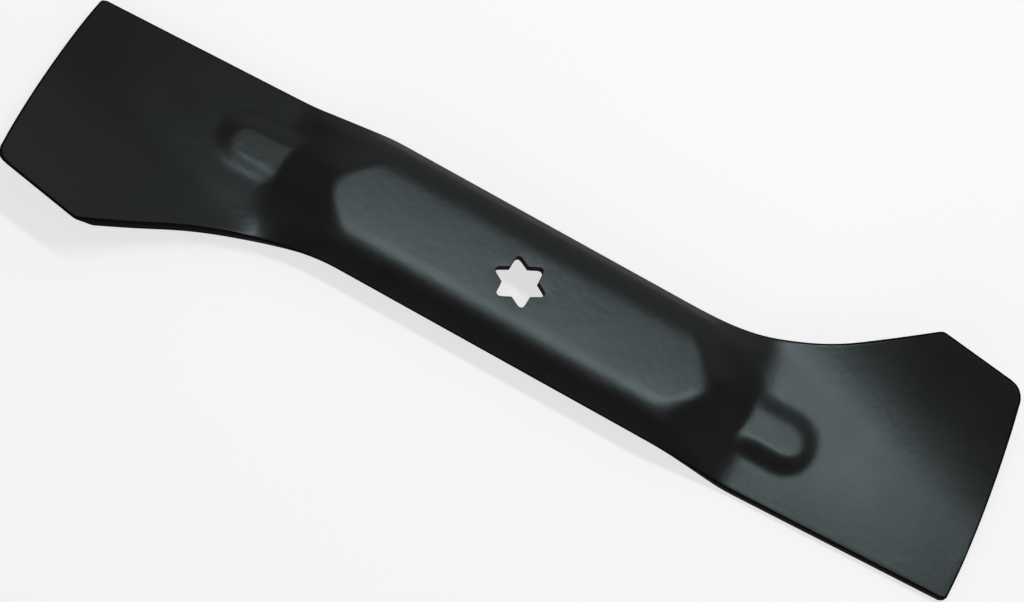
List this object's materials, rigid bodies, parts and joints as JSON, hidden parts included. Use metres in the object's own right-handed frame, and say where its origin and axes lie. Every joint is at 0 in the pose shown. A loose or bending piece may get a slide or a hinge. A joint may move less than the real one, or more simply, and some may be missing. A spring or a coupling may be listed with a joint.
{
  "type": "rotary mower blade",
  "caption": "Stamped steel rotary mower blade with a star-shaped drive hole, a stepped channel hub, gusseted wings and upturned cutting corners.",
  "frame": {"origin": "on the spindle axis, at the centre of the star hole, in the plane of the hub's flat face on the ground side", "axes": "+X along the blade, +Z along the spindle axis out of the ground side, so the blade lies on its two trailing edges with its ground side up"},
  "size_m": [0.534, 0.181, 0.029],
  "materials": {
    "painted_steel": "satin black paint over pressed steel"
  },
  "bodies": {
    "root": {"blade": "painted_steel"}
  },
  "joints": []
}
